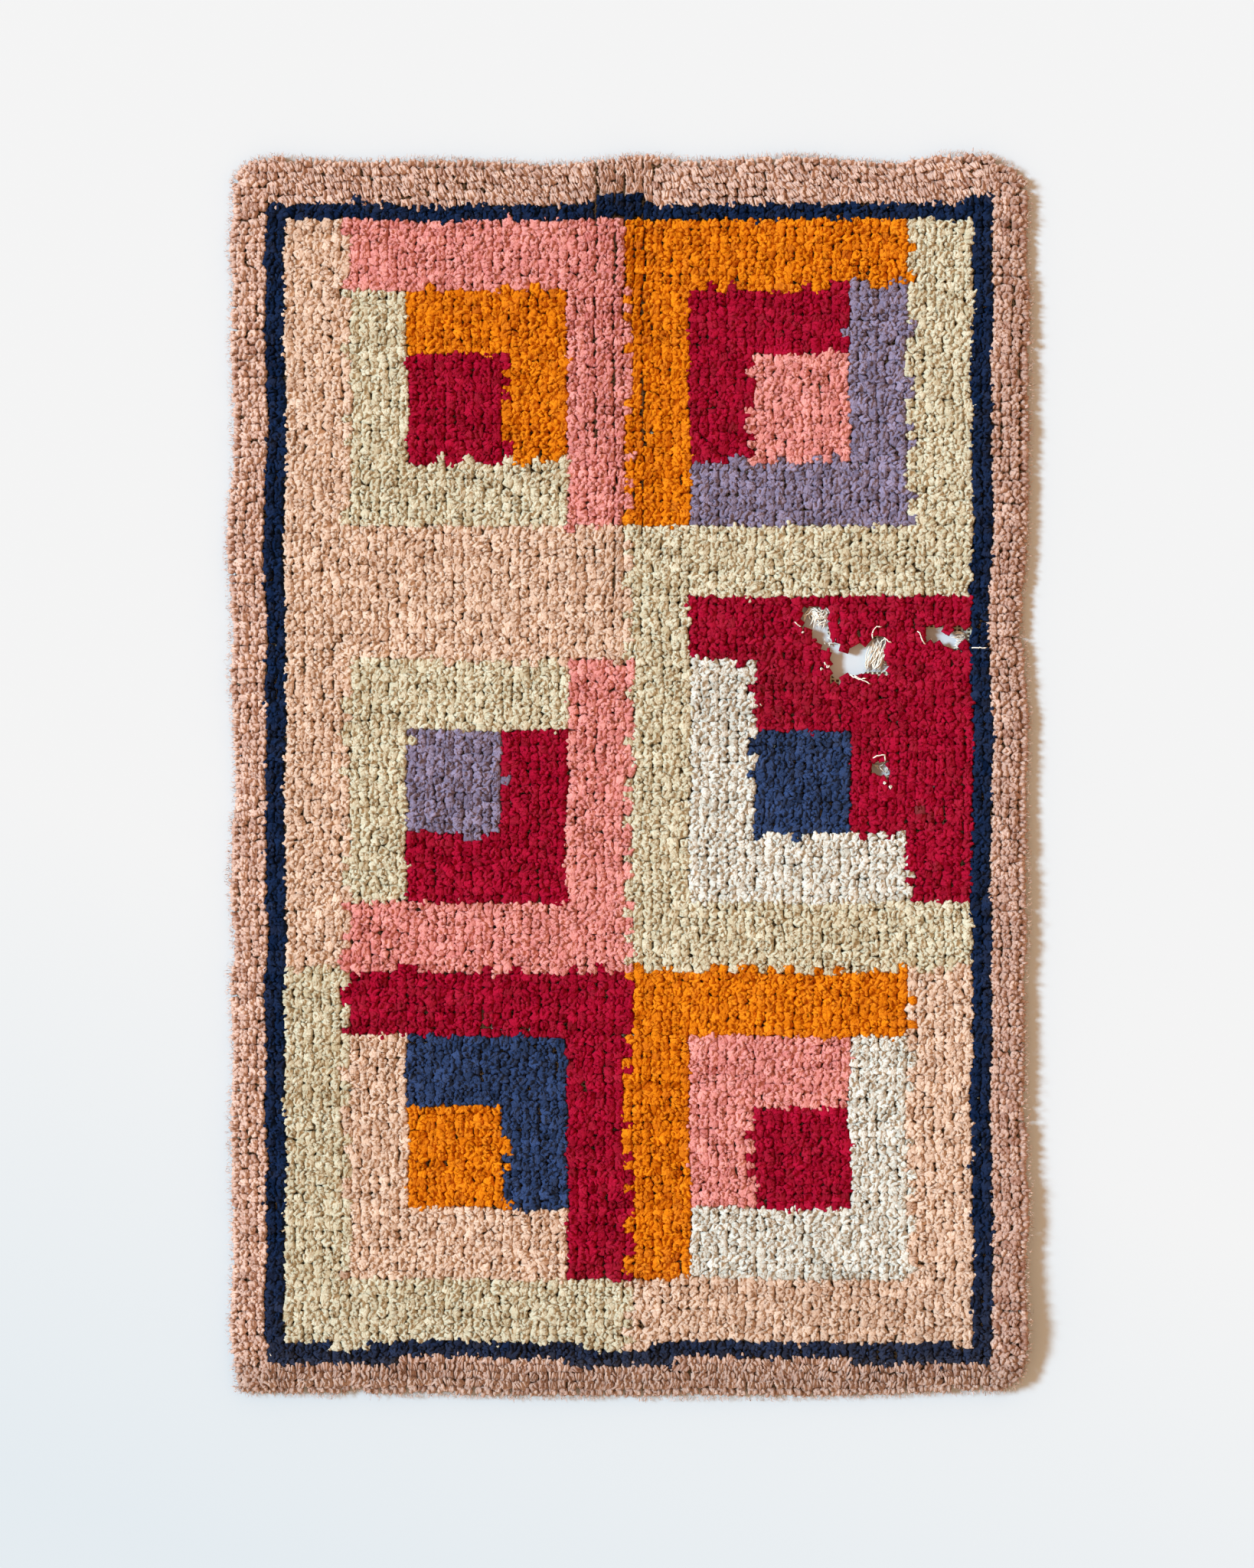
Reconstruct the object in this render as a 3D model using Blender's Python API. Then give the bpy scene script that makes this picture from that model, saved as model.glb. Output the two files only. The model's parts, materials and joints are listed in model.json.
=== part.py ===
"""A small hooked rug that lies on the floor, worn through in three places.

The rug is two pieces. The canvas is a flat sheet of open cotton weave. The pile is the thick layer
of wool hooked into it: one lumpy slab whose rounded rim hangs past the canvas on all four sides.
The outline wanders by a few millimetres, the right edge curls up a little off the floor, and an old
lengthwise fold has left a low ridge. X is the rug's width, Y its length, and the floor is at Z = 0.
"""

import math
from collections import namedtuple

import bmesh
import bpy
import numpy as np
from mathutils import Vector
from mathutils.geometry import delaunay_2d_cdt

MM = 0.001

# Overall sizes, in metres
WIDTH = 654 * MM
LENGTH = 1013 * MM
CANVAS_THICK = 1.5 * MM
PILE_TOP = 13.2 * MM
PIECE_GAP = 0.3 * MM
RIM_OVERHANG = 6.5 * MM

# How finely the surfaces are divided
RIM_STEP = 12.5 * MM
CANVAS_STEP = 40 * MM
PILE_STEP = 28 * MM

# The rim: each pair of neighbouring tufts stands out or in by up to this much
RIM_LUMP = 1.3 * MM
PILE_LUMP = 0.6 * MM
PILE_SWELL = 0.5 * MM
LUMP_SEED = 11

# Each side of the outline: "at" runs along the side from the rug's middle, "out" is how far the
# side stands outside the straight line there. Both are in millimetres.
Side = namedtuple("Side", "at out")
LEFT_SIDE = (
    Side(-488, -3.6), Side(-454, 0.6), Side(-387, -1.9), Side(-300, 0.8), Side(-221, -1.9),
    Side(-160, 0.8), Side(-147, -2.8), Side(-87, 0.8), Side(-40, -0.4), Side(-20, -4.4),
    Side(40, -2.3), Side(80, 1.2), Side(120, -0.6), Side(199, 3.2), Side(270, -1.9),
    Side(371, 0.6), Side(401, -1.9), Side(431, 1.2), Side(472, -1.2),
)
RIGHT_SIDE = (
    Side(-491, -2.2), Side(-453, 1.0), Side(-403, -1.6), Side(-353, 2.2), Side(-303, 0.3),
    Side(-253, -1.5), Side(-178, -2.2), Side(-128, 0.9), Side(-28, -0.3), Side(46, 1.6),
    Side(97, -0.3), Side(122, -5.0), Side(147, -3.6), Side(172, -0.3), Side(222, 1.0),
    Side(297, 2.2), Side(346, 2.8), Side(397, 3.2), Side(421, 0.3), Side(471, 1.6),
)
NEAR_SIDE = (
    Side(-284, -1.2), Side(-234, -0.6), Side(-222, -4.8), Side(-210, 0.0), Side(-171, -0.6),
    Side(-76, 1.2), Side(136, 1.9), Side(207, 0.0), Side(256, -2.2), Side(287, -3.4),
)
FAR_SIDE = (
    Side(-299, 0.0), Side(-288, 2.9), Side(-271, 0.0), Side(-221, -1.9), Side(-171, 0.6),
    Side(-104, -1.9), Side(-76, -4.2), Side(-42, -3.0), Side(-21, 0.0), Side(5, 3.1),
    Side(58, -0.6), Side(142, 3.0), Side(196, -1.9), Side(219, -3.1), Side(240, 0.0),
    Side(256, 4.4), Side(288, 4.6), Side(312, -0.6),
)

# Corners are worn round. "along" and "across" say which end and side, "radius" is in millimetres.
Corner = namedtuple("Corner", "across along radius")
CORNERS = (
    Corner(-1, -1, 18),
    Corner(1, -1, 28),
    Corner(1, 1, 32),
    Corner(-1, 1, 26),
)

# How far the right edge stands off the floor, in millimetres, at points along it
Lift = namedtuple("Lift", "at lift")
RIGHT_LIFT = (
    Lift(-507, 4.0), Lift(-485, 6.0), Lift(-450, 11.4), Lift(-420, 9.5), Lift(-385, 8.0),
    Lift(-350, 6.8), Lift(-305, 5.0), Lift(-250, 4.6), Lift(-100, 3.6), Lift(20, 2.0),
    Lift(120, 0.0), Lift(200, 0.6), Lift(340, 0.8), Lift(507, 0.6),
)
LIFT_REACH = 120 * MM

# The old fold: a low ridge from the far end, along the rug and fading out before its middle
RIDGE_ACROSS = -10 * MM
RIDGE_HALF_WIDTH = 26 * MM
RIDGE_HEIGHT = 2.2 * MM
RIDGE_END = 140 * MM
RIDGE_FADE = 130 * MM

# The rim from the top of the pile, over its side and back under it to the edge of the canvas.
# "inset" is how far inside the outline and "height" how far above the floor, in millimetres.
Rim = namedtuple("Rim", "inset height")
RIM_SECTION = (
    Rim(9.0, 12.3),
    Rim(3.2, 10.6),
    Rim(0.5, 7.2),
    Rim(0.0, 4.2),
    Rim(1.6, 1.2),
)

# The worn tears, as overlapping lobes: middle and half sizes in millimetres, turn in degrees.
# "canvas_share" is how much of the lobe's size is torn out of the canvas too.
Tear = namedtuple("Tear", "across along half_width half_length turn canvas_share")
TEARS = (
    Tear(153.0, 132.0, 11.5, 9.5, 0, 0.62),
    Tear(159.5, 115.5, 5.5, 10.0, 20, 0.80),
    Tear(177.0, 96.0, 15.5, 12.0, -15, 0.90),
    Tear(199.5, 99.5, 8.5, 12.5, 0, 0.60),
    Tear(259.0, 114.0, 18.0, 6.8, 4, 0.86),
    Tear(207.5, 8.0, 7.8, 6.2, 12, 0.80),
)
TEAR_POINTS = 14
TEAR_RAGGED = 0.14
CUTTER_REACH = 30 * MM

CANVAS_COLOUR = (0.80, 0.72, 0.60)
PILE_COLOUR = (0.58, 0.34, 0.26)


def eased(rows, at):
    """The second column of a table of millimetres, eased between its rows, in metres."""
    places = [row[0] * MM for row in rows]
    values = [row[1] * MM for row in rows]
    if at <= places[0]:
        return values[0]
    for low, high, start, end in zip(places, places[1:], values, values[1:]):
        if at <= high:
            share = (at - low) / (high - low)
            return start + (end - start) * (0.5 - 0.5 * math.cos(math.pi * share))
    return values[-1]


def rounded(x, y):
    """A point on the straight-sided rug, drawn in where it lies in a worn corner."""
    for corner in CORNERS:
        radius = corner.radius * MM
        s = (corner.across * x - WIDTH / 2) / radius + 1
        t = (corner.along * y - LENGTH / 2) / radius + 1
        if s > 0 and t > 0:
            s, t = s * math.sqrt(1 - t * t / 2), t * math.sqrt(1 - s * s / 2)
            x = corner.across * (WIDTH / 2 + (s - 1) * radius)
            y = corner.along * (LENGTH / 2 + (t - 1) * radius)
    return Vector((x, y))


def outline():
    """The rug's outline as a closed loop of points, against the clock, with its wandering sides."""
    across = round(WIDTH / RIM_STEP)
    along = round(LENGTH / RIM_STEP)
    half_width, half_length = WIDTH / 2, LENGTH / 2
    loop = []
    for i in range(across):
        x = WIDTH * i / across - half_width
        loop.append(rounded(x, -half_length) + Vector((0, -eased(NEAR_SIDE, x))))
    for i in range(along):
        y = LENGTH * i / along - half_length
        loop.append(rounded(half_width, y) + Vector((eased(RIGHT_SIDE, y), 0)))
    for i in range(across):
        x = half_width - WIDTH * i / across
        loop.append(rounded(x, half_length) + Vector((0, eased(FAR_SIDE, x))))
    for i in range(along):
        y = half_length - LENGTH * i / along
        loop.append(rounded(-half_width, y) + Vector((-eased(LEFT_SIDE, y), 0)))
    return loop


def outward(loop):
    """The direction away from the rug at each point of a closed loop that runs against the clock."""
    count = len(loop)
    directions = []
    for i in range(count):
        along = loop[(i + 1) % count] - loop[i - 1]
        directions.append(Vector((along.y, -along.x)).normalized())
    return directions


def lift(x, y):
    """How far the rug stands off the floor at a point."""
    reach = (x - (WIDTH / 2 - LIFT_REACH)) / LIFT_REACH
    return eased(RIGHT_LIFT, y) * max(reach, 0) ** 2


def ridge(x, y):
    """The height that the old fold adds to the top of the pile."""
    aside = (x - RIDGE_ACROSS) / RIDGE_HALF_WIDTH
    fade = min(max((y - RIDGE_END) / RIDGE_FADE, 0), 1)
    return RIDGE_HEIGHT * math.exp(-aside * aside) * fade


def swell(x, y):
    """The slow rise and fall of the worn pile."""
    return PILE_SWELL * (math.sin(21 * x + 9 * y) + math.sin(17 * y - 13 * x + 1.3))


def filled(loop, step):
    """Points and triangles that fill a closed loop, with inner points set out in staggered rows."""
    low_x, high_x = min(p.x for p in loop), max(p.x for p in loop)
    low_y, high_y = min(p.y for p in loop), max(p.y for p in loop)
    row_step = step * math.sqrt(3) / 2
    rows = round((high_y - low_y) / row_step)
    columns = round((high_x - low_x) / step)
    inner = []
    for j in range(1, rows):
        y = low_y + (high_y - low_y) * j / rows
        shift = 0.25 if j % 2 else -0.25
        for i in range(1, columns):
            x = low_x + (high_x - low_x) * (i + shift) / columns
            if min((Vector((x, y)) - p).length for p in loop) > 0.55 * step:
                inner.append(Vector((x, y)))
    count = len(loop)
    edges = [(i, (i + 1) % count) for i in range(count)]
    points, _, triangles, *_ = delaunay_2d_cdt(loop + inner, edges, [], 1, 1e-7)
    return points, triangles


def new_material(name, colour, roughness):
    material = bpy.data.materials.new(name)
    material.use_nodes = True
    shader = material.node_tree.nodes["Principled BSDF"]
    shader.inputs["Base Color"].default_value = (*colour, 1)
    shader.inputs["Roughness"].default_value = roughness
    shader.inputs["Metallic"].default_value = 0
    return material


def new_object(name, bm, collection, material=None):
    mesh = bpy.data.meshes.new(name)
    bm.to_mesh(mesh)
    bm.free()
    piece = bpy.data.objects.new(name, mesh)
    collection.objects.link(piece)
    if material:
        mesh.materials.append(material)
    return piece


def surface(bm, points, triangles, height, upward):
    """A layer of triangles over the given points, lifted as the rug is. Returns its vertices in order."""
    vertices = [bm.verts.new((p.x, p.y, height + lift(p.x, p.y))) for p in points]
    for triangle in triangles:
        corners = [vertices[i] for i in triangle]
        bm.faces.new(corners if upward else corners[::-1])
    return vertices


def band(bm, lower, upper):
    """A ring of quads between two rings of vertices that run against the clock."""
    count = len(lower)
    for i in range(count):
        j = (i + 1) % count
        bm.faces.new((lower[i], lower[j], upper[j], upper[i]))


def make_canvas(collection, ground, rim_count):
    """The sheet of open cotton canvas, from the floor to its own thickness."""
    points, triangles = ground
    bm = bmesh.new()
    under = surface(bm, points, triangles, 0, False)
    over = surface(bm, points, triangles, CANVAS_THICK, True)
    band(bm, under[:rim_count], over[:rim_count])
    return new_object("canvas", bm, collection, new_material("cotton_canvas", CANVAS_COLOUR, 0.9))


def make_pile(collection, ground, loop):
    """The slab of hooked wool: a lumpy top, a rounded rim, and an underside that follows the canvas."""
    points, triangles = ground
    lumps = np.random.default_rng(LUMP_SEED)
    directions = outward(loop)
    bm = bmesh.new()
    under = surface(bm, points, triangles, CANVAS_THICK + PIECE_GAP, False)
    rim_lumps = RIM_LUMP * lumps.uniform(-1, 1, len(loop))
    rings = []
    for row in RIM_SECTION[::-1]:
        share = max(1 - row.inset * MM / RIM_OVERHANG, 0)
        ring = []
        for point, direction, stands in zip(loop, directions, rim_lumps):
            place = point + direction * (stands * share - row.inset * MM)
            height = row.height * MM + lift(place.x, place.y)
            if row is RIM_SECTION[0]:
                height += ridge(place.x, place.y)
            ring.append(bm.verts.new((place.x, place.y, height)))
        rings.append(ring)
    band(bm, under[:len(loop)], rings[0])
    for lower, upper in zip(rings, rings[1:]):
        band(bm, lower, upper)

    top_loop = [Vector(vertex.co.xy) for vertex in rings[-1]]
    top_points, top_triangles = filled(top_loop, PILE_STEP)
    over = list(rings[-1])
    for point in top_points[len(top_loop):]:
        height = PILE_TOP + lift(point.x, point.y) + ridge(point.x, point.y)
        height += swell(point.x, point.y) + PILE_LUMP * lumps.uniform(-1, 1)
        over.append(bm.verts.new((point.x, point.y, height)))
    for triangle in top_triangles:
        bm.faces.new([over[i] for i in triangle])
    return new_object("pile", bm, collection, new_material("hooked_wool", PILE_COLOUR, 0.95))


def tear_cutter(index, tear, share, collection):
    """A ragged upright plug that takes one lobe of a tear out of a layer."""
    curve = bpy.data.curves.new(f"tear_{index}", "CURVE")
    curve.dimensions = "2D"
    curve.fill_mode = "BOTH"
    curve.extrude = CUTTER_REACH
    spline = curve.splines.new("POLY")
    spline.points.add(TEAR_POINTS - 1)
    spline.use_cyclic_u = True
    for i, point in enumerate(spline.points):
        angle = math.tau * i / TEAR_POINTS
        wander = math.sin(5 * angle + 2.1 * index) * math.cos(2 * angle + index)
        reach = share * (1 + TEAR_RAGGED * wander)
        point.co = (
            reach * tear.half_width * MM * math.cos(angle),
            reach * tear.half_length * MM * math.sin(angle), 0, 1,
        )
    shape = bpy.data.objects.new(curve.name, curve)
    collection.objects.link(shape)
    shape.location = (tear.across * MM, tear.along * MM, 0)
    shape.rotation_euler = (0, 0, math.radians(tear.turn))
    bpy.context.view_layer.update()
    evaluated = shape.evaluated_get(bpy.context.evaluated_depsgraph_get())
    mesh = bpy.data.meshes.new_from_object(evaluated)
    bm = bmesh.new()
    bm.from_mesh(mesh)
    bmesh.ops.remove_doubles(bm, verts=bm.verts, dist=1e-6)
    bmesh.ops.recalc_face_normals(bm, faces=bm.faces)
    bm.to_mesh(mesh)
    bm.free()
    cutter = bpy.data.objects.new(f"cutter_{index}_{round(100 * share)}", mesh)
    collection.objects.link(cutter)
    cutter.matrix_world = shape.matrix_world.copy()
    bpy.data.objects.remove(shape)
    cutter.hide_render = True
    cutter.display_type = "WIRE"
    return cutter


def tear_through(piece, collection, share_of):
    """Cuts every tear through a piece."""
    for index, tear in enumerate(TEARS):
        cut = piece.modifiers.new(f"tear_{index}", "BOOLEAN")
        cut.operation = "DIFFERENCE"
        cut.solver = "EXACT"
        cut.object = tear_cutter(index, tear, share_of(tear), collection)


def make_rug():
    """Builds the rug's two pieces and wears the tears through both."""
    rug = bpy.data.collections.new("hooked_rug")
    cutters = bpy.data.collections.new("cutters")
    for collection in (rug, cutters):
        bpy.context.scene.collection.children.link(collection)
    rim = outline()
    canvas_edge = [point - away * RIM_OVERHANG for point, away in zip(rim, outward(rim))]
    ground = filled(canvas_edge, CANVAS_STEP)
    canvas = make_canvas(rug, ground, len(rim))
    pile = make_pile(rug, ground, rim)
    tear_through(canvas, cutters, lambda tear: tear.canvas_share)
    tear_through(pile, cutters, lambda tear: 1)


for old in list(bpy.data.objects):
    bpy.data.objects.remove(old, do_unlink=True)
make_rug()
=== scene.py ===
# %% [markdown]
# A hooked rug, worn through in three places, lies flat on a pale floor and is seen from straight above. On a
# real one, short lengths of wool yarn are hooked through an open cotton canvas, one to each hole, until their
# cut ends stand as a thick pile. This lesson makes it the same way: first the canvas, then a chart that says
# which yarn goes in which hole, then the tufts and the loose fibres of the rim, and last the frayed threads
# in the tears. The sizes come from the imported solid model, which the first cell loads.

# %% Load the solid model
import json
import math
from collections import namedtuple

import bmesh
import bpy
import numpy as np
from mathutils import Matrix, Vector
from mathutils.geometry import delaunay_2d_cdt

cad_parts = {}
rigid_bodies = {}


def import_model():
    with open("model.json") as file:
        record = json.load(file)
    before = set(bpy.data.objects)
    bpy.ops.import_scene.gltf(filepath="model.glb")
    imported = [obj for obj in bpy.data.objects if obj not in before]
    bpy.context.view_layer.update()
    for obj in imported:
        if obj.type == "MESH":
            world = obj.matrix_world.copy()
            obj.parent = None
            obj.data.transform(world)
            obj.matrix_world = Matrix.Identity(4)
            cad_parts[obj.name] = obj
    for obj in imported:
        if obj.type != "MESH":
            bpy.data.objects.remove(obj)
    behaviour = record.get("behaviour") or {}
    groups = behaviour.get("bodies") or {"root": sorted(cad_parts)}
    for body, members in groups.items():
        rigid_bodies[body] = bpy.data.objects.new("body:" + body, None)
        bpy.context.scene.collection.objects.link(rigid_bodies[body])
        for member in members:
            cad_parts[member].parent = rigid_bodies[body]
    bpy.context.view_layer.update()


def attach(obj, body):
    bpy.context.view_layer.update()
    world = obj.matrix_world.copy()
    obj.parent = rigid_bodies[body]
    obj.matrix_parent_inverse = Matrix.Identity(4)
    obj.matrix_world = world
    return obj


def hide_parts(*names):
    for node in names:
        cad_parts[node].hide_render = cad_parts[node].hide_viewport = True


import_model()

MM = 0.001
SEED = 7

# %% [markdown]
# The photograph looks straight down, so the camera hangs over the rug. A long lens from three metres up keeps
# the sides from leaning. Its angle is worked out from how much of the floor the picture takes in.

# %% Camera
EYE_HEIGHT = 3.0
PILE_LEVEL = 12 * MM
VIEW_LENGTH = 1.280
VIEW_MIDDLE = (-1.25 * MM, -5.9 * MM)
SENSOR = 36.0

lens = bpy.data.cameras.new("view_from_above")
lens.sensor_width = SENSOR
lens.lens = SENSOR * (EYE_HEIGHT - PILE_LEVEL) / VIEW_LENGTH
camera = bpy.data.objects.new("view_from_above", lens)
camera.location = (*VIEW_MIDDLE, EYE_HEIGHT)
bpy.context.scene.collection.objects.link(camera)
bpy.context.scene.camera = camera
bpy.context.scene.view_settings.view_transform = "Standard"
print("lens length in mm:", round(lens.lens, 1))

# %% [markdown]
# Every material and every node tree is built from nodes. Two helpers do most of that: one adds a node with
# its settings and links, and one turns the hex colours that a designer writes into the linear ones that
# Blender works in. A node that is handed on as a value stands for its first output in use.

# %% Helpers for nodes, colours and meshes
MATH = "ShaderNodeMath"
VECTOR_MATH = "ShaderNodeVectorMath"
NOISE = "ShaderNodeTexNoise"


def linear(hex_colour):
    """A hex colour, such as "D2A188", as linear red, green, blue and alpha."""
    parts = [int(hex_colour[i:i + 2], 16) / 255 for i in (0, 2, 4)]
    return (*(c / 12.92 if c <= 0.04045 else ((c + 0.055) / 1.055) ** 2.4 for c in parts), 1)


def in_use(sockets, name):
    """The socket of that name that the node's settings leave in use."""
    return next(socket for socket in sockets if socket.name == name and socket.enabled)


def set_inputs(tree, node, inputs):
    """Fills inputs, by name or number, with plain values or with links from nodes or sockets."""
    for key, value in inputs.items():
        socket = in_use(node.inputs, key) if isinstance(key, str) else node.inputs[key]
        if isinstance(value, bpy.types.Node):
            value = next(output for output in value.outputs if output.enabled)
        if isinstance(value, bpy.types.NodeSocket):
            tree.links.new(value, socket)
        else:
            socket.default_value = value


def add_node(tree, kind, inputs=None, **settings):
    """Adds a node with its settings and its inputs."""
    node = tree.nodes.new(kind)
    for name, value in settings.items():
        setattr(node, name, value)
    set_inputs(tree, node, inputs or {})
    return node


def new_material(name):
    """A material with a Principled shader joined to its output, and its tree and shader."""
    material = bpy.data.materials.new(name)
    material.use_nodes = True
    tree = material.node_tree
    return material, tree, tree.nodes["Principled BSDF"]


def new_piece(name, vertices, faces, material=None, home=bpy.context.scene.collection):
    """A mesh object at the origin, with smooth faces, in a collection."""
    mesh = bpy.data.meshes.new(name)
    mesh.from_pydata(vertices, [], faces)
    mesh.shade_smooth()
    if material:
        mesh.materials.append(material)
    piece = bpy.data.objects.new(name, mesh)
    home.objects.link(piece)
    return piece


def triangle_count(piece):
    return sum(len(face.vertices) - 2 for face in piece.data.polygons)

# %% [markdown]
# The floor is a white sweep of paper, matt, with a faint band of painted cool shade toward one side. The
# light is one soft source on the left, about 41 degrees up, which throws a narrow shadow to the right of the
# pile, and a warm glow from all round that fills the shadow with tan.

# %% Floor
FLOOR_SIZE = 60.0
FLOOR_WHITE = "C9C9C9"
# painted cool shade, which drifts across the floor toward one side
FLOOR_PAINTED_COOL_SHADE = "BCC2C6"
DRIFT_TURN = math.radians(-70)
DRIFT_SCALE = 1.9
DRIFT_START = 1.35


def paper_floor():
    """Matt white paper, with a broad, faint drift of painted cool shade across it."""
    material, tree, shader = new_material("matt_paper")
    place = add_node(tree, "ShaderNodeTexCoord")
    drift = add_node(tree, "ShaderNodeMapping", {
        "Vector": place.outputs["Object"], "Rotation": (0, 0, DRIFT_TURN), "Scale": (DRIFT_SCALE,) * 3,
        "Location": (DRIFT_START, 0, 0),
    })
    slope = add_node(tree, "ShaderNodeTexGradient", {"Vector": drift})
    tint = add_node(tree, "ShaderNodeMix", {
        "Factor": slope.outputs["Fac"], "A": linear(FLOOR_PAINTED_COOL_SHADE), "B": linear(FLOOR_WHITE),
    }, data_type="RGBA")
    set_inputs(tree, shader, {"Base Color": tint, "Roughness": 0.95, "Specular IOR Level": 0.1})
    return material


half = FLOOR_SIZE / 2
floor = new_piece(
    "floor", [(-half, -half, 0), (half, -half, 0), (half, half, 0), (-half, half, 0)], [(0, 1, 2, 3)],
    paper_floor(),
)

# %% Light
KEY_FROM = Vector((-0.74, 0.14, 0.66))
KEY_SPREAD = math.radians(12)
KEY_STRENGTH = 5.50
KEY_TINT = (0.5625, 0.804, 1.0)
FILL_TINT = (1.0, 0.69, 0.44, 1)
FILL_STRENGTH = 0.90

key = bpy.data.lights.new("window", "SUN")
key.energy = KEY_STRENGTH
key.angle = KEY_SPREAD
key.color = KEY_TINT
window = bpy.data.objects.new("window", key)
window.rotation_euler = KEY_FROM.to_track_quat("Z", "Y").to_euler()
bpy.context.scene.collection.objects.link(window)

world = bpy.data.worlds.new("room")
world.use_nodes = True
glow = world.node_tree.nodes["Background"]
glow.inputs["Color"].default_value = FILL_TINT
glow.inputs["Strength"].default_value = FILL_STRENGTH
bpy.context.scene.world = world

# %% [markdown]
# The rug is not a true rectangle. Each side wanders by a few millimetres, the corners are worn round, the
# right edge stands a little off the floor, and an old fold has left a low ridge. The tables below repeat the
# solid model's own figures, so that tufts and canvas land where its solids are.

# %% The rug's outline and heights
WIDTH = 654 * MM
LENGTH = 1013 * MM
CANVAS_THICK = 1.5 * MM
RIM_OVERHANG = 6.5 * MM
RIM_STEP = 6.25 * MM

# each row: the place along the side, and how far it stands out there, in millimetres
LEFT_SIDE = (
    (-488, -3.6), (-454, 0.6), (-387, -1.9), (-300, 0.8), (-221, -1.9),
    (-160, 0.8), (-147, -2.8), (-87, 0.8), (-40, -0.4), (-20, -4.4),
    (40, -2.3), (80, 1.2), (120, -0.6), (199, 3.2), (270, -1.9),
    (371, 0.6), (401, -1.9), (431, 1.2), (472, -1.2),
)
RIGHT_SIDE = (
    (-491, -2.2), (-453, 1.0), (-403, -1.6), (-353, 2.2), (-303, 0.3),
    (-253, -1.5), (-178, -2.2), (-128, 0.9), (-28, -0.3), (46, 1.6),
    (97, -0.3), (122, -5.0), (147, -3.6), (172, -0.3), (222, 1.0),
    (297, 2.2), (346, 2.8), (397, 3.2), (421, 0.3), (471, 1.6),
)
NEAR_SIDE = (
    (-284, -1.2), (-234, -0.6), (-222, -4.8), (-210, 0.0), (-171, -0.6),
    (-76, 1.2), (136, 1.9), (207, 0.0), (256, -2.2), (287, -3.4),
)
FAR_SIDE = (
    (-299, 0.0), (-288, 2.9), (-271, 0.0), (-221, -1.9), (-171, 0.6),
    (-104, -1.9), (-76, -4.2), (-42, -3.0), (-21, 0.0), (5, 3.1),
    (58, -0.6), (142, 3.0), (196, -1.9), (219, -3.1), (240, 0.0),
    (256, 4.4), (288, 4.6), (312, -0.6),
)
Corner = namedtuple("Corner", "across along radius")
CORNERS = (Corner(-1, -1, 18), Corner(1, -1, 28), Corner(1, 1, 32), Corner(-1, 1, 26))
# each row: the place along the rug, and how high its right edge stands there, in millimetres
RIGHT_LIFT = (
    (-507, 4.0), (-485, 6.0), (-450, 11.4), (-420, 9.5), (-385, 8.0),
    (-350, 6.8), (-305, 5.0), (-250, 4.6), (-100, 3.6), (20, 2.0),
    (120, 0.0), (200, 0.6), (340, 0.8), (507, 0.6),
)
LIFT_REACH = 120 * MM
RIDGE_ACROSS = -10 * MM
RIDGE_HALF_WIDTH = 26 * MM
RIDGE_HEIGHT = 2.2 * MM
RIDGE_END = 140 * MM
RIDGE_FADE = 130 * MM
PILE_SWELL = 0.5 * MM


def eased(rows, at):
    """The second column of a table of millimetres, eased between its rows, in metres."""
    places, values = np.array(rows).T * MM
    at = np.clip(at, places[0], places[-1])
    low = np.clip(np.searchsorted(places, at, side="right") - 1, 0, len(places) - 2)
    share = (at - places[low]) / (places[low + 1] - places[low])
    return values[low] + (values[low + 1] - values[low]) * (0.5 - 0.5 * np.cos(math.pi * share))


def rounded(x, y):
    """A point on the straight-sided rug, drawn in where it lies in a worn corner."""
    for corner in CORNERS:
        radius = corner.radius * MM
        s = (corner.across * x - WIDTH / 2) / radius + 1
        t = (corner.along * y - LENGTH / 2) / radius + 1
        if s > 0 and t > 0:
            s, t = s * math.sqrt(1 - t * t / 2), t * math.sqrt(1 - s * s / 2)
            x = corner.across * (WIDTH / 2 + (s - 1) * radius)
            y = corner.along * (LENGTH / 2 + (t - 1) * radius)
    return Vector((x, y))


def outline():
    """The rug's outline as a closed loop of points, against the clock, with its wandering sides."""
    across, along = round(WIDTH / RIM_STEP), round(LENGTH / RIM_STEP)
    right, far = WIDTH / 2, LENGTH / 2
    near_side = [rounded(x, -far) - Vector((0, eased(NEAR_SIDE, x)))
                 for x in np.linspace(-right, right, across, endpoint=False)]
    right_side = [rounded(right, y) + Vector((eased(RIGHT_SIDE, y), 0))
                  for y in np.linspace(-far, far, along, endpoint=False)]
    far_side = [rounded(x, far) + Vector((0, eased(FAR_SIDE, x)))
                for x in np.linspace(right, -right, across, endpoint=False)]
    left_side = [rounded(-right, y) - Vector((eased(LEFT_SIDE, y), 0))
                 for y in np.linspace(far, -far, along, endpoint=False)]
    return np.array([tuple(p) for p in near_side + right_side + far_side + left_side])


def outward(loop):
    """The direction away from the rug at each point of a closed loop that runs against the clock."""
    along = np.roll(loop, -1, axis=0) - np.roll(loop, 1, axis=0)
    away = np.stack([along[:, 1], -along[:, 0]], axis=1)
    return away / np.linalg.norm(away, axis=1, keepdims=True)


def lift(x, y):
    """How far the rug stands off the floor at a point."""
    reach = (x - (WIDTH / 2 - LIFT_REACH)) / LIFT_REACH
    return eased(RIGHT_LIFT, y) * np.maximum(reach, 0) ** 2


def ridge(x, y):
    """The height that the old fold adds to the top of the pile."""
    aside = (x - RIDGE_ACROSS) / RIDGE_HALF_WIDTH
    return RIDGE_HEIGHT * np.exp(-aside * aside) * np.clip((y - RIDGE_END) / RIDGE_FADE, 0, 1)


def swell(x, y):
    """The slow rise and fall of the worn pile."""
    return PILE_SWELL * (np.sin(21 * x + 9 * y) + np.sin(17 * y - 13 * x + 1.3))


rim = outline()
rim_away = outward(rim)
print("outline points:", len(rim))

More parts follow.
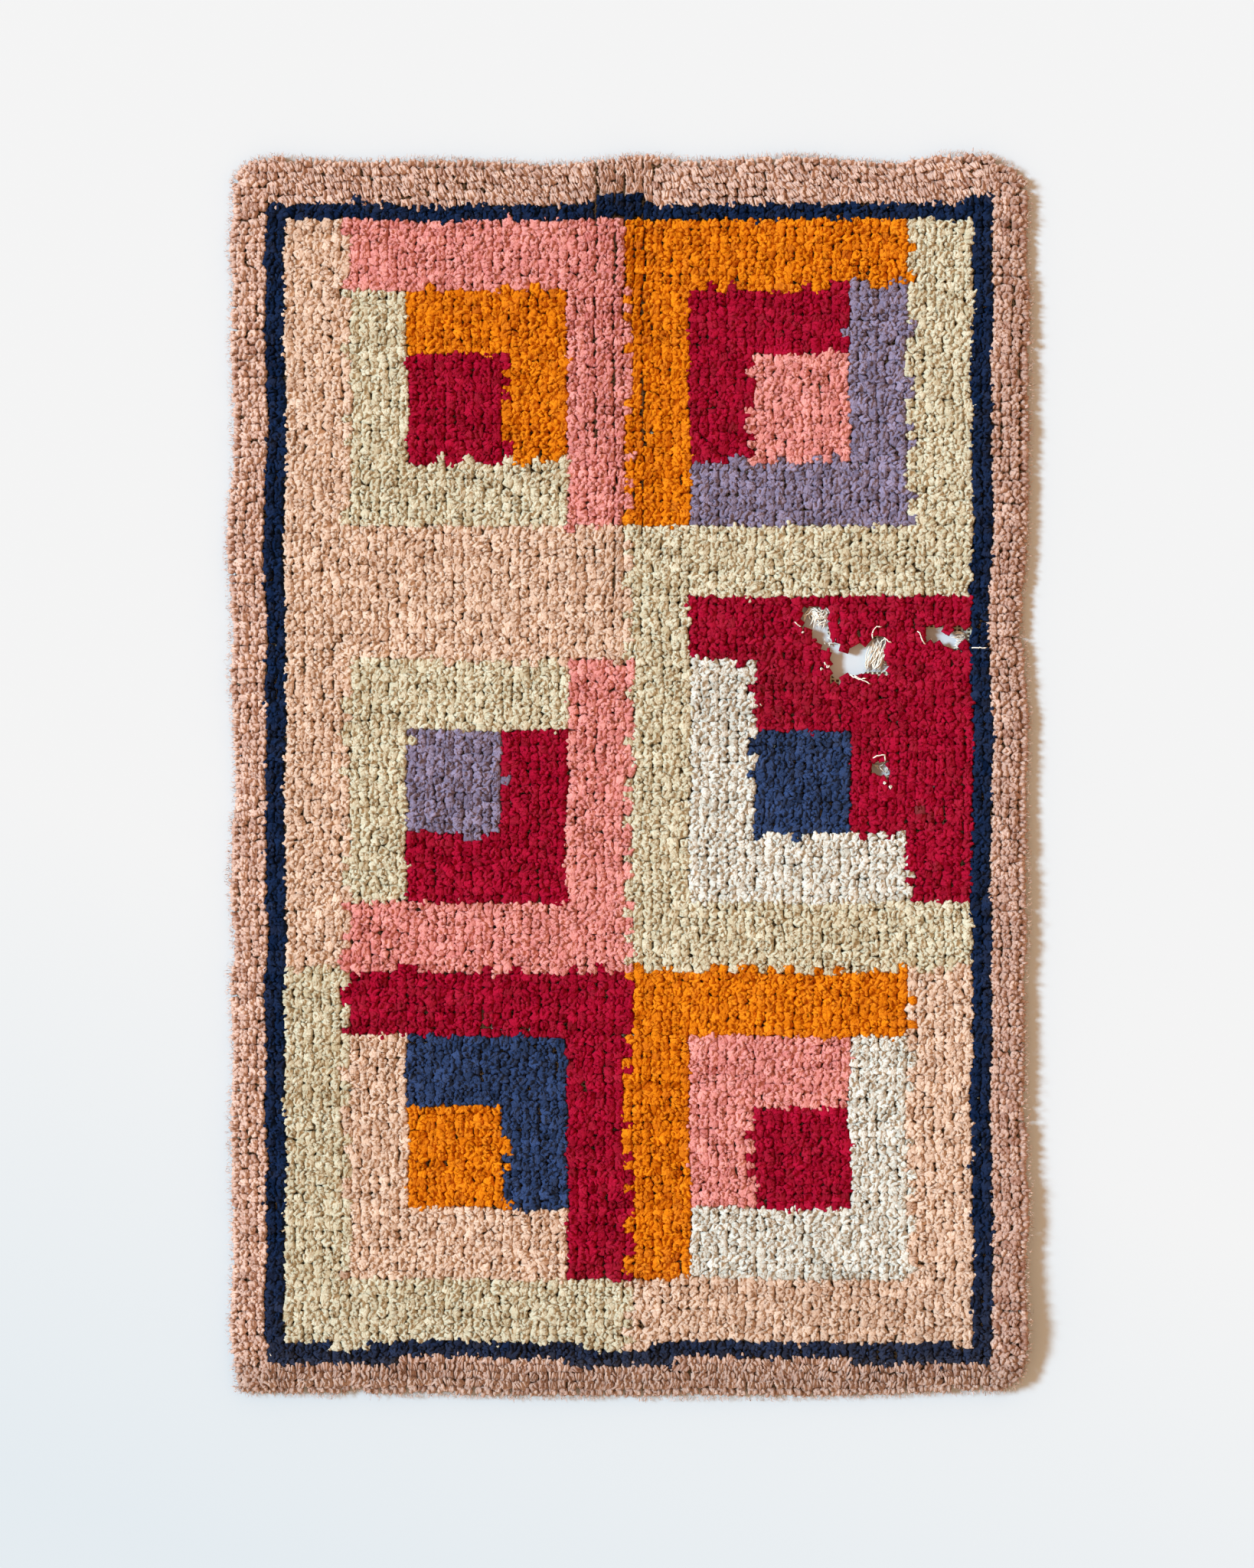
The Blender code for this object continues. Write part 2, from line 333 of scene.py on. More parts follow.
# %% [markdown]
# The tears go through pile and canvas. Each is a ragged loop of points, in millimetres from the rug's middle.
# The canvas has given way as far as the pile has, and only its broken threads still reach into the holes.

# %% The tears
TEARS = (
    ((145, 142), (155, 140), (161, 143), (166, 139), (167, 132), (164, 125), (163, 118), (166, 114),
     (171, 113), (173, 107), (177, 105), (184, 109), (192, 108), (197, 112), (209, 115), (212, 105),
     (209, 98), (214, 90), (209, 86), (194, 86), (190, 80), (186, 83), (170, 80), (165, 84), (165, 94),
     (163, 101), (158, 105), (155, 110), (150, 112), (151, 118), (149, 122), (141, 123), (140, 130),
     (142, 136)),
    ((241, 121), (256, 121.5), (268, 119), (277, 120), (278, 108), (267, 106.5), (252, 107), (241, 108)),
    ((199.5, 14), (206, 16), (213, 14.5), (216, 9), (214, 2), (208, 0), (201, 1), (199, 7)),
)


def inside(loop, x, y):
    """Whether each point lies in a closed loop of corners, by counting the sides to its right."""
    corners = np.array(loop)
    hits = np.zeros(np.shape(x), int)
    for (x0, y0), (x1, y1) in zip(corners, np.roll(corners, -1, axis=0)):
        spans = (y0 > y) != (y1 > y)
        level = (x1 - x0) * (y - y0) / np.where(y1 == y0, 1, y1 - y0) + x0
        hits += spans & (x < level)
    return hits % 2 == 1

# %% [markdown]
# Rug canvas is an open, stiff cotton: pairs of hard-twisted threads cross, and glue or size holds them where
# they meet. It is nearly white when new and goes to straw. One closed sheet of the canvas's own thickness
# carries it here, and the weave is drawn by its material, because only the tears and the back let it be seen.

# %% Cotton canvas finish
COLUMNS = 85
ROWS = 158
COLUMN_PITCH = WIDTH / COLUMNS
ROW_PITCH = LENGTH / ROWS
COTTON_THREAD = "D9CBB0"
# painted shade: the holes between the threads are filled with this dark brown
COTTON_HOLE_SHADE = "54412E"
COTTON_FLUFF = "FBF4EA"
COTTON_FLUFF_SHARE = 0.35
THREAD_EDGE = (-0.2, 0.75)


def stripes(tree, coordinate, pitch, name):
    """A rounded ridge for each pair of threads: 1 on the threads, 0 between the pairs."""
    turns = add_node(tree, MATH, {0: coordinate, 1: math.tau / pitch}, operation="MULTIPLY")
    wave = add_node(tree, MATH, {0: turns}, operation="COSINE", label=name)
    return add_node(tree, "ShaderNodeMapRange", {
        "Value": wave, "From Min": THREAD_EDGE[0], "From Max": THREAD_EDGE[1],
    }, interpolation_type="SMOOTHSTEP")


def cotton(name, woven, fluff_size, colours, relief, finish):
    """Sized cotton, matt and pale. Woven, its holes are painted with brown shade. Frayed, it is only fluffy.
    """
    material, tree, shader = new_material(name)
    place = add_node(tree, "ShaderNodeTexCoord").outputs["Object"]
    fluff = add_node(tree, NOISE, {"Vector": place, "Scale": 1 / fluff_size, "Detail": 3})
    height = cover = fluff.outputs["Fac"]
    if woven:
        parts = add_node(tree, "ShaderNodeSeparateXYZ", {0: place})
        warp = stripes(tree, parts.outputs["X"], COLUMN_PITCH / 2, "warp")
        weft = stripes(tree, parts.outputs["Y"], ROW_PITCH / 2, "weft")
        cover = add_node(tree, MATH, {0: warp, 1: weft}, operation="MAXIMUM")
        height = add_node(tree, MATH, {0: height, 1: COTTON_FLUFF_SHARE, 2: cover}, operation="MULTIPLY_ADD")
    colour = add_node(tree, "ShaderNodeMix", {
        "Factor": cover, "A": linear(colours[0]), "B": linear(colours[1]),
    }, data_type="RGBA")
    bump = add_node(tree, "ShaderNodeBump", {"Height": height, "Distance": relief[0], "Strength": relief[1]})
    set_inputs(tree, shader, {"Base Color": colour, "Normal": bump, **finish})
    return material


canvas_finish = cotton(
    "sized_cotton_canvas", True, 1.1 * MM, (COTTON_HOLE_SHADE, COTTON_THREAD), (0.6 * MM, 0.9),
    {"Roughness": 0.85, "Specular IOR Level": 0.25},
)
fray_finish = cotton(
    "frayed_cotton", False, 0.9 * MM, (COTTON_THREAD, COTTON_FLUFF), (0.4 * MM, 0.8),
    {"Roughness": 0.9, "Specular IOR Level": 0.1, "Sheen Weight": 0.6},
)

# %% Canvas sheet
CANVAS_STEP = 30 * MM
INNER_CLEARANCE = 0.4
WELD = 1e-7


def torn_sheet(loop, holes, step):
    """Flat points and triangles that fill a loop, less the holes, with inner points set out in rows."""
    low, high = loop.min(axis=0), loop.max(axis=0)
    points = [Vector(p) for p in loop]
    edges = [(i, (i + 1) % len(loop)) for i in range(len(loop))]
    for hole in holes:
        start = len(points)
        points += [Vector(p) * MM for p in hole]
        edges += [(start + i, start + (i + 1) % len(hole)) for i in range(len(hole))]
    fixed = np.array([tuple(p) for p in points])
    for y in np.arange(low[1] + step, high[1], step):
        for x in np.arange(low[0] + step, high[0], step):
            clear = np.linalg.norm(fixed - (x, y), axis=1).min()
            if clear > INNER_CLEARANCE * step:
                points.append(Vector((x, y)))
    flat, _, faces, *_ = delaunay_2d_cdt(points, edges, [], 1, WELD)
    middles = np.array([tuple(sum((flat[i] for i in face), Vector((0, 0))) / 3) for face in faces]) / MM
    torn = np.zeros(len(faces), bool)
    for hole in holes:
        torn |= inside(hole, middles[:, 0], middles[:, 1])
    return flat, [face for face, gone in zip(faces, torn) if not gone]


def make_canvas():
    """The canvas as one closed sheet that follows the lifted edge."""
    flat, faces = torn_sheet(rim - rim_away * RIM_OVERHANG, TEARS, CANVAS_STEP)
    bm = bmesh.new()
    under = [bm.verts.new((p.x, p.y, float(lift(p.x, p.y)))) for p in flat]
    over = [bm.verts.new((p.x, p.y, float(lift(p.x, p.y)) + CANVAS_THICK)) for p in flat]
    for face in faces:
        bm.faces.new([over[i] for i in face])
        bm.faces.new([under[i] for i in reversed(face)])
    used = {side: True for face in faces for side in zip(face, face[1:] + face[:1])}
    for start, end in used:
        if (end, start) not in used:
            bm.faces.new((under[start], under[end], over[end], over[start]))
    bmesh.ops.delete(bm, geom=[v for v in bm.verts if not v.link_faces], context="VERTS")
    mesh = bpy.data.meshes.new("canvas_sheet")
    bm.to_mesh(mesh)
    bm.free()
    mesh.materials.append(canvas_finish)
    sheet = bpy.data.objects.new("canvas_sheet", mesh)
    bpy.context.scene.collection.objects.link(sheet)
    return sheet


canvas = make_canvas()
print("canvas triangles:", triangle_count(canvas))

# %% [markdown]
# The chart. Hooked rugs are worked from a squared chart, one square to a tuft. Ours has a plain dusty pink
# border, a navy line, and a field of pieced blocks: a square in the middle and two rounds of strips, light
# yarns on two sides and dark yarns on the other two, as in a log-cabin quilt. It is a traditional repeat, and
# a table gives each block its five yarns and which way its light corner points.

# %% The chart
BORDER = {"left": 4, "right": 4, "near": 4.5, "far": 5.8}
LINE = {"left": 2, "right": 2, "near": 2.1, "far": 2.2}
BLOCKS_ACROSS = 2
BLOCKS_ALONG = 3
STRIP_SHARE = 0.18
LINE_WAVER = ((0.3, 5.3, 0), (0.15, 2.1, 1))
NEAR_WAVER_SHARE = 0.4

Block = namedtuple("Block", "middle inner_light inner_dark outer_light outer_dark corner")
BLOCKS = (
    Block("orange", "peach", "navy_blue", "cream", "crimson", 0),
    Block("crimson", "white", "salmon", "peach", "orange", 1),
    Block("lavender", "cream", "crimson", "peach", "salmon", 3),
    Block("navy_blue", "white", "crimson", "cream", "crimson", 0),
    Block("crimson", "cream", "orange", "peach", "salmon", 0),
    Block("salmon", "lavender", "crimson", "cream", "orange", 1),
)


def yarn_of_block(block, s, t):
    """The yarn at a place in a block, where s and t run from 0 to 1 across and along it."""
    if block.corner in (1, 2):
        s = 1 - s
    if block.corner in (2, 3):
        t = 1 - t
    rounds = ((block.outer_light, block.outer_dark), (block.inner_light, block.inner_dark))
    for number, (light, dark) in enumerate(rounds, 1):
        width = number * STRIP_SHARE
        if s < width or t < width:
            return light
        if s > 1 - width or t > 1 - width:
            return dark
    return block.middle


def yarn_at(column, row, unsure):
    """The yarn for a hole of the canvas. unsure shifts the edges of colours by part of a hole."""
    wave = sum(amount * math.sin(column / length + start) for amount, length, start in LINE_WAVER)
    edges = {
        "left": column + 0.5, "right": COLUMNS - column - 0.5,
        "near": row + 0.5 + NEAR_WAVER_SHARE * wave, "far": ROWS - row - 0.5 + wave,
    }
    if any(edges[side] < BORDER[side] for side in edges):
        return "pink"
    if any(edges[side] < BORDER[side] + LINE[side] for side in edges):
        return "navy"
    low_column = BORDER["left"] + LINE["left"]
    high_column = COLUMNS - BORDER["right"] - LINE["right"]
    low_row = BORDER["near"] + LINE["near"]
    high_row = ROWS - BORDER["far"] - LINE["far"]
    s = (column + 0.5 + unsure[0] - low_column) / (high_column - low_column) * BLOCKS_ACROSS
    t = (row + 0.5 + unsure[1] - low_row) / (high_row - low_row) * BLOCKS_ALONG
    s = min(max(s, 0), BLOCKS_ACROSS - 0.001)
    t = min(max(t, 0), BLOCKS_ALONG - 0.001)
    block = BLOCKS[int(t) * BLOCKS_ACROSS + int(s)]
    return yarn_of_block(block, s % 1, t % 1)

# %% [markdown]
# Where every tuft stands. The holes of the canvas give the foot of each tuft. Near the rim the tufts lean
# outwards, because nothing holds them there, so the crowns spread evenly out to the rug's outline while the
# feet stay on the canvas.

# %% Feet and crowns of the tufts
CROWN_INSET = 3.3 * MM
FOOT_PULL = ((3.3, 4.7), (10.5, 2.4), (18.0, 1.1), (26.0, 0.4), (36.0, 0.0))
EDGE_FADE = 24 * MM
CROWN_HEIGHT = 10.9 * MM
RIM_DROP = 1.9 * MM
RIM_DROP_REACH = 5 * MM
PARTED_LINES = ((38.5, 260), (40.5, 420), (41.5, 200), (43.5, 330))
END_SHIFT = 0.8 * MM
PARTED_SHIFT = 1.1 * MM
PARTED_DROP = 0.5 * MM
PARTED_SQUEEZE = 0.27
CROWN_JITTER = 0.75 * MM
FAR_ROWS = 9
NEAR_ROWS = 7
END_COLUMNS = 4
EDGE_CLEAR = 0.2 * MM
Wave = namedtuple("Wave", "height across along start")
WANDER_X = (Wave(0.9, 4, 31, 0), Wave(0.5, -11, 73, 2))
WANDER_Y = (Wave(0.8, 27, 3, 1), Wave(0.5, 61, -9, 0))

random = np.random.default_rng(SEED)
column, row = [grid.ravel() for grid in np.meshgrid(np.arange(COLUMNS), np.arange(ROWS), indexing="ij")]
x = (column + 0.5) * COLUMN_PITCH - WIDTH / 2
y = (row + 0.5) * ROW_PITCH - LENGTH / 2


def edge_fade(distance):
    return np.exp(-distance / EDGE_FADE)


shift_x = eased(RIGHT_SIDE, y) * edge_fade(WIDTH / 2 - x) - eased(LEFT_SIDE, y) * edge_fade(WIDTH / 2 + x)
shift_y = eased(FAR_SIDE, x) * edge_fade(LENGTH / 2 - y) - eased(NEAR_SIDE, x) * edge_fade(LENGTH / 2 + y)
wander_x, wander_y = [
    sum(wave.height * MM * np.sin(wave.across * x + wave.along * y + wave.start) for wave in waves)
    for waves in (WANDER_X, WANDER_Y)
]
crown = np.stack([x + shift_x + wander_x, y + shift_y + wander_y], axis=1)
crown += random.normal(0, CROWN_JITTER, crown.shape)
crown[:, 1] += (row > ROWS - FAR_ROWS) * random.normal(0, END_SHIFT, len(row))


def depth_in(points):
    """How far inside the outline each point is, and the way out from there."""
    starts, ends = rim, np.roll(rim, -1, axis=0)
    sides = ends - starts
    square = (sides ** 2).sum(axis=1)
    away = np.stack([sides[:, 1], -sides[:, 0]], axis=1) / np.sqrt(square)[:, None]
    offset = points[:, None, :] - starts[None]
    share = np.clip((offset * sides[None]).sum(axis=2) / square, 0, 1)
    nearest = offset - share[..., None] * sides[None]
    distance = np.sqrt((nearest ** 2).sum(axis=2))
    best = distance.argmin(axis=1)
    here = np.arange(len(points))
    signed = -(nearest[here, best] * away[best]).sum(axis=1)
    return np.where(signed < 0, -distance[here, best], distance[here, best]), away[best]


depth, away = depth_in(crown)
crown -= away * np.maximum(CROWN_INSET - depth, 0)[:, None]
stands = depth > EDGE_CLEAR
for tear in TEARS:
    stands &= ~inside(tear, crown[:, 0] / MM, crown[:, 1] / MM)
column, row, crown, depth, away = [values[stands] for values in (column, row, crown, depth, away)]
depth = np.maximum(depth, CROWN_INSET)
pull = np.interp(depth / MM, *np.array(FOOT_PULL).T) * MM
foot = crown - away * pull[:, None]
print("tufts:", len(foot))

# %% [markdown]
# The old fold parts the pile between a few of its columns. Tufts beside such a line stand apart and are
# squeezed narrower, so that a dark gap opens between them. A line is given by its place in columns and by how
# far it runs from the far end.

# %% The parted columns
PARTED_COLUMNS = 0.9
PARTED_FADE = 60 * MM
PARTED_WAVES = 70

parted = np.zeros(len(foot))
for line, reach in PARTED_LINES:
    aside = column - line
    near = np.exp(-(aside / PARTED_COLUMNS) ** 2)
    fade = np.clip((crown[:, 1] - (LENGTH / 2 - reach * MM)) / PARTED_FADE, 0, 1)
    fade *= 0.8 + 0.2 * np.sin(crown[:, 1] * PARTED_WAVES + line)
    crown[:, 0] += np.sign(aside) * near * fade * PARTED_SHIFT
    parted = np.maximum(parted, near * fade)

# %% Yarn and height of every tuft
COLOUR_EDGE = 0.14
FOOT_SINK = 0.3 * MM
LEVEL_JITTER = 0.3 * MM

count = len(foot)
unsure = np.clip(random.normal(0, COLOUR_EDGE, (count, 2)), -0.45, 0.45)
yarn = np.array([yarn_at(c, r, u) for c, r, u in zip(column, row, unsure)])
ground = CANVAS_THICK - FOOT_SINK + lift(foot[:, 0], foot[:, 1])
rim_drop = RIM_DROP * np.clip(1 - (depth - CROWN_INSET) / RIM_DROP_REACH, 0, 1)
level = CROWN_HEIGHT + ridge(crown[:, 0], crown[:, 1]) + swell(crown[:, 0], crown[:, 1]) - rim_drop
level += random.normal(0, LEVEL_JITTER, count) - PARTED_DROP * parted
reach = np.column_stack([crown - foot, level])

# %% Shape and turn of every tuft
FIELD_KINDS = 8
PILLOW_KINDS = 6
SLANT_KINDS = 6
RIM_KINDS = 5
FIRST_SLANT = FIELD_KINDS + PILLOW_KINDS
FIRST_RIM = FIRST_SLANT + SLANT_KINDS
RIM_BAND = 6.2 * MM
TURN_SPREAD = {"field": 1.2, "side": 0.35, "far": 0.16, "near": 0.3, "rim": 0.2, "parted": 0.25}
FAR_TURN = math.pi + 0.3
SIZE_SPREAD = 0.08

bordering = yarn == "pink"
between = (column >= END_COLUMNS) & (column < COLUMNS - END_COLUMNS)
far_end = bordering & (row > ROWS - FAR_ROWS) & between
near_end = bordering & (row < NEAR_ROWS) & between
side_border = bordering & ~far_end & ~near_end
rimmed = depth < RIM_BAND


def turned_by(part):
    return random.normal(0, TURN_SPREAD[part], count)


kind = random.integers(0, FIELD_KINDS, count)
turn = turned_by("field")
kind = np.where(side_border, FIELD_KINDS + random.integers(0, PILLOW_KINDS, count), kind)
turn = np.where(side_border, turned_by("side"), turn)
kind = np.where(far_end | near_end, FIRST_SLANT + random.integers(0, SLANT_KINDS, count), kind)
turn = np.where(far_end, FAR_TURN + turned_by("far"), turn)
turn = np.where(near_end, turned_by("near"), turn)
kind = np.where(rimmed, FIRST_RIM + random.integers(0, RIM_KINDS, count), kind)
outward_turn = np.arctan2(away[:, 1], away[:, 0]) - math.pi / 2
turn = np.where(rimmed, outward_turn + turned_by("rim"), turn)
turn = np.where((parted > 0.3) & ~rimmed, turned_by("parted"), turn)
spread = random.normal(1, SIZE_SPREAD, count)
narrow = 1 - PARTED_SQUEEZE * parted

# %% [markdown]
# Tone, dirt and painted shade. No two lengths of yarn are dyed quite alike, the near end is darker and greyer
# than the middle, walking has left a few dark spots, and painted shade darkens the right side and the parted
# lines.
# Each tuft carries two numbers for this, which its material reads.

# %% Tone, dirt and painted shade of every tuft
Spot = namedtuple("Spot", "across along half_width half_length dark")
SPOTS = (
    Spot(238, -28, 5, 5, 0.8), Spot(246, -36, 4, 3, 0.7), Spot(82, -419, 4, 4, 0.8),
    Spot(-231, -406, 4, 4, 0.6), Spot(-191, -484, 5, 6, 0.8), Spot(120, 60, 60, 50, 0.12),
    Spot(180, -430, 120, 60, 0.15), Spot(-230, -300, 50, 90, 0.10),
)
STAIN_DIRT = 0.3
TONE_BY_TUFT = 0.16
TONE_BY_YARN = 0.06
YARN_COLUMNS = 6
PARTED_SHADE = 0.25
DIRT = (0.01, 0.02)
RIM_DIRT = 0.04
RIM_DIRT_REACH = 30 * MM
NEAR_END_DARKENING = ((0.12, -380, 120), (0.18, -470, 20))
# painted shade along the right side, which lies away from the light
RIGHT_SHADE_FROM = 285 * MM
RIGHT_SHADE_OVER = 25 * MM
RIGHT_SHADE_GREY = 0.08
RIGHT_SHADE_TONE = 0.24
DEEPEST_TONE = -0.4

by_yarn = random.normal(0, 1, (ROWS, COLUMNS // YARN_COLUMNS + 1))
tone_and_shade = 0.5 + TONE_BY_TUFT * random.normal(0, 1, count) + TONE_BY_YARN * by_yarn[row, column // YARN_COLUMNS]
tone_and_shade = np.clip(tone_and_shade - PARTED_SHADE * parted, 0, 1)
dirt_and_shade = DIRT[0] + DIRT[1] * random.normal(0, 1, count)
dirt_and_shade += RIM_DIRT * np.exp(-(depth / RIM_DIRT_REACH))
# Darker and greyer toward the near end.
for amount, begins, fade in NEAR_END_DARKENING:
    dirt_and_shade += amount * np.clip((begins * MM - crown[:, 1]) / (fade * MM), 0, 1)
# Painted shade: the strip along the right side, away from the light, is made darker and greyer.
right_shade = np.clip((crown[:, 0] - RIGHT_SHADE_FROM) / RIGHT_SHADE_OVER, 0, 1)
dirt_and_shade += RIGHT_SHADE_GREY * right_shade
tone_and_shade -= RIGHT_SHADE_TONE * right_shade
for spot in SPOTS:
    across = (crown[:, 0] - spot.across * MM) / (spot.half_width * MM)
    along = (crown[:, 1] - spot.along * MM) / (spot.half_length * MM)
    stain = spot.dark * np.exp(-(across ** 2 + along ** 2))
    dirt_and_shade += STAIN_DIRT * stain
    tone_and_shade -= stain
dirt_and_shade = np.clip(dirt_and_shade, 0, 1)
tone_and_shade = np.clip(tone_and_shade, DEEPEST_TONE, 1)

# %% [markdown]
# Wool rug yarn is soft-twisted and matt, with a bloom of loose fibre. Worn tips are paler than the yarn lower
# down, partly from real fading and partly as painted shade deep in the pile. The yarn's own UV map runs round
# it and along it, so the twist can be drawn as slanting ridges, and fine streaks of fibre follow it.

# %% Wool finish
SOIL_AND_SHADE_GREY = "625A52"
FLUFF_SHARE = 0.9
FLUFF_SIZE = 1.1 * MM
STREAK_SHARE = 2.6
YARN_TURNS = 4.0
CURL_SHARE = 0.5
CURL_SIZE = 2.3 * MM
CURL_STRETCH = (1.0, 0.62, 0.8)
CURL_WAVER = 1.6 * MM
CURL_WAVER_SIZE = 3.0 * MM
TIP_WEAR_AND_DEPTH_SHADE = {"From Min": 0.15, "From Max": 0.7, "To Min": -0.25, "To Max": 0.12}
# how strongly the relief darkens the colour in its hollows and lightens it on its tops: painted shade and
# painted highlight
RELIEF_SHADE_SHARE = 0.4
RELIEF_SHADE_LEVEL = 0.71
WOOL_RELIEF = 0.7 * MM
# deep is the yarn's colour low in the pile, darkened with painted shade; worn is the colour of its faded tips
Yarn = namedtuple("Yarn", "slot deep worn")
YARNS = {
    "pink": Yarn("border_wool", "A87663", "E7C0AC"),
    "navy": Yarn("navy_wool", "020A1E", "172745"),
    "navy_blue": Yarn("blue_wool", "0F1829", "36466B"),
    "crimson": Yarn("crimson_wool", "69000C", "A91131"),
    "orange": Yarn("orange_wool", "A84400", "E98614"),
    "cream": Yarn("cream_wool", "B09A76", "D9CCB1"),
    "peach": Yarn("peach_wool", "B98F74", "E6C5AD"),
    "salmon": Yarn("salmon_wool", "B95E58", "E79A90"),
    "lavender": Yarn("lavender_wool", "4C4051", "95859B"),
    "white": Yarn("white_wool", "B0A594", "E3DACD"),
}


def wool(name, yarn):
    """Soft-twisted wool yarn in one dye, paler at its worn tips, with painted shade lower down and in the
    hollows of its relief.
    """
    material, tree, shader = new_material(f"{name}_rug_wool")
    round_along = add_node(tree, "ShaderNodeUVMap", uv_map="yarn")
    parts = add_node(tree, "ShaderNodeSeparateXYZ", {0: round_along})
    place = add_node(tree, "ShaderNodeTexCoord").outputs["Object"]
    tone_and_shade_in = add_node(tree, "ShaderNodeAttribute", attribute_name="tone_and_shade").outputs["Fac"]
    dirt_and_shade_in = add_node(tree, "ShaderNodeAttribute", attribute_name="dirt_and_shade").outputs["Fac"]

    round_it = add_node(tree, MATH, {0: parts.outputs["X"], 1: math.tau}, operation="MULTIPLY")
    lay = add_node(tree, MATH, {0: parts.outputs["Y"], 1: YARN_TURNS, 2: round_it}, operation="MULTIPLY_ADD")
    sine = add_node(tree, MATH, {0: lay}, operation="SINE")
    cosine = add_node(tree, MATH, {0: lay}, operation="COSINE")
    lay_place = add_node(tree, "ShaderNodeCombineXYZ", {"X": sine, "Y": cosine, "Z": parts.outputs["Y"]})
    lay_seed = add_node(tree, MATH, {0: tone_and_shade_in, 1: 50.0}, operation="MULTIPLY")
    streaks = add_node(tree, NOISE, {
        "Vector": lay_place, "W": lay_seed, "Scale": 1.0, "Detail": 3,
    }, noise_dimensions="4D")
    fluff = add_node(tree, NOISE, {"Vector": place, "Scale": 1 / FLUFF_SIZE, "Detail": 3, "Roughness": 0.7})
    waver = add_node(tree, NOISE, {"Vector": place, "Scale": 1 / CURL_WAVER_SIZE, "Detail": 1})
    wavered = add_node(tree, VECTOR_MATH, {
        0: waver.outputs["Color"], 1: (CURL_WAVER,) * 3, 2: place,
    }, operation="MULTIPLY_ADD")
    stretched = add_node(tree, VECTOR_MATH, {0: wavered, 1: CURL_STRETCH}, operation="MULTIPLY")
    curls = add_node(tree, "ShaderNodeTexVoronoi", {
        "Vector": stretched, "Scale": 1 / CURL_SIZE,
    }, feature="F1")
    curled = add_node(tree, MATH, {
        0: curls.outputs["Distance"], 1: -CURL_SHARE, 2: CURL_SHARE,
    }, operation="MULTIPLY_ADD")
    fibre = add_node(tree, MATH, {
        0: streaks.outputs["Fac"], 1: STREAK_SHARE, 2: curled,
    }, operation="MULTIPLY_ADD")
    height = add_node(tree, MATH, {
        0: fluff.outputs["Fac"], 1: FLUFF_SHARE, 2: fibre,
    }, operation="MULTIPLY_ADD")

    # Paler toward the tips: partly the real fading of worn tips, partly painted shade on the yarn lower in
    # the pile.
    tip = add_node(tree, "ShaderNodeMapRange", {"Value": parts.outputs["Y"], **TIP_WEAR_AND_DEPTH_SHADE})
    worn = add_node(tree, MATH, {0: tip, 1: tone_and_shade_in}, operation="ADD")
    # The relief's height sets the colour too: partly the fibres' own mottling, partly painted shade in its
    # hollows and painted highlight on its tops.
    relief_shaded = add_node(tree, MATH, {0: height, 1: RELIEF_SHADE_SHARE, 2: worn}, operation="MULTIPLY_ADD")
    paleness = add_node(tree, MATH, {0: relief_shaded, 1: RELIEF_SHADE_LEVEL}, operation="SUBTRACT", use_clamp=True)
    dye = add_node(tree, "ShaderNodeMix", {
        "Factor": paleness, "A": linear(yarn.deep), "B": linear(yarn.worn),
    }, data_type="RGBA")
    # greyed by real dirt and stains, and by painted shade where the tuft's numbers carry it
    soiled = add_node(tree, "ShaderNodeMix", {
        "Factor": dirt_and_shade_in, "A": dye, "B": linear(SOIL_AND_SHADE_GREY),
    }, data_type="RGBA")
    relief = add_node(tree, "ShaderNodeBump", {"Height": height, "Distance": WOOL_RELIEF, "Strength": 1.0})
    set_inputs(tree, shader, {
        "Base Color": soiled, "Normal": relief, "Roughness": 0.9, "Specular IOR Level": 0.02,
        "Sheen Weight": 0.5, "Sheen Roughness": 0.5, "Sheen Tint": linear(yarn.worn),
    })
    return material


wools = {name: wool(name, yarn_facts) for name, yarn_facts in YARNS.items()}
print("wools:", ", ".join(wools))

# %% [markdown]
# The shape of one tuft. A hooked length of yarn swells to fill its place between its neighbours, and its
# loose plies stand up out of it and bend over at the top. So a tuft here is a four-sided body and four blunt
# bent plies. Four families cover the rug: curls for the field, close curls for the side borders, long
# slanting plies for the ends, and fans that droop over the rim. A whole tuft has only 72 triangles, because
# there are more than thirteen thousand of them. The shapes are worked out in millimetres, 10 mm tall.

# %% Tuft shapes
SIDES = 4
TUFT_TOP = 10
BODY_ROUNDS = 3
BODY_SHOULDER = 3.0
BODY_CROWN = 0.9
BODY_TAPER = 0.74
PLY_GATHER = 0.3
PLY_FOOT = 0.8
PLY_SHOULDER = 2.2
PLY_RISE = 1.5
PLY_FALL = 0.8
PLY_BLUNT = 0.75
SHOULDER_SHARE = 1.05


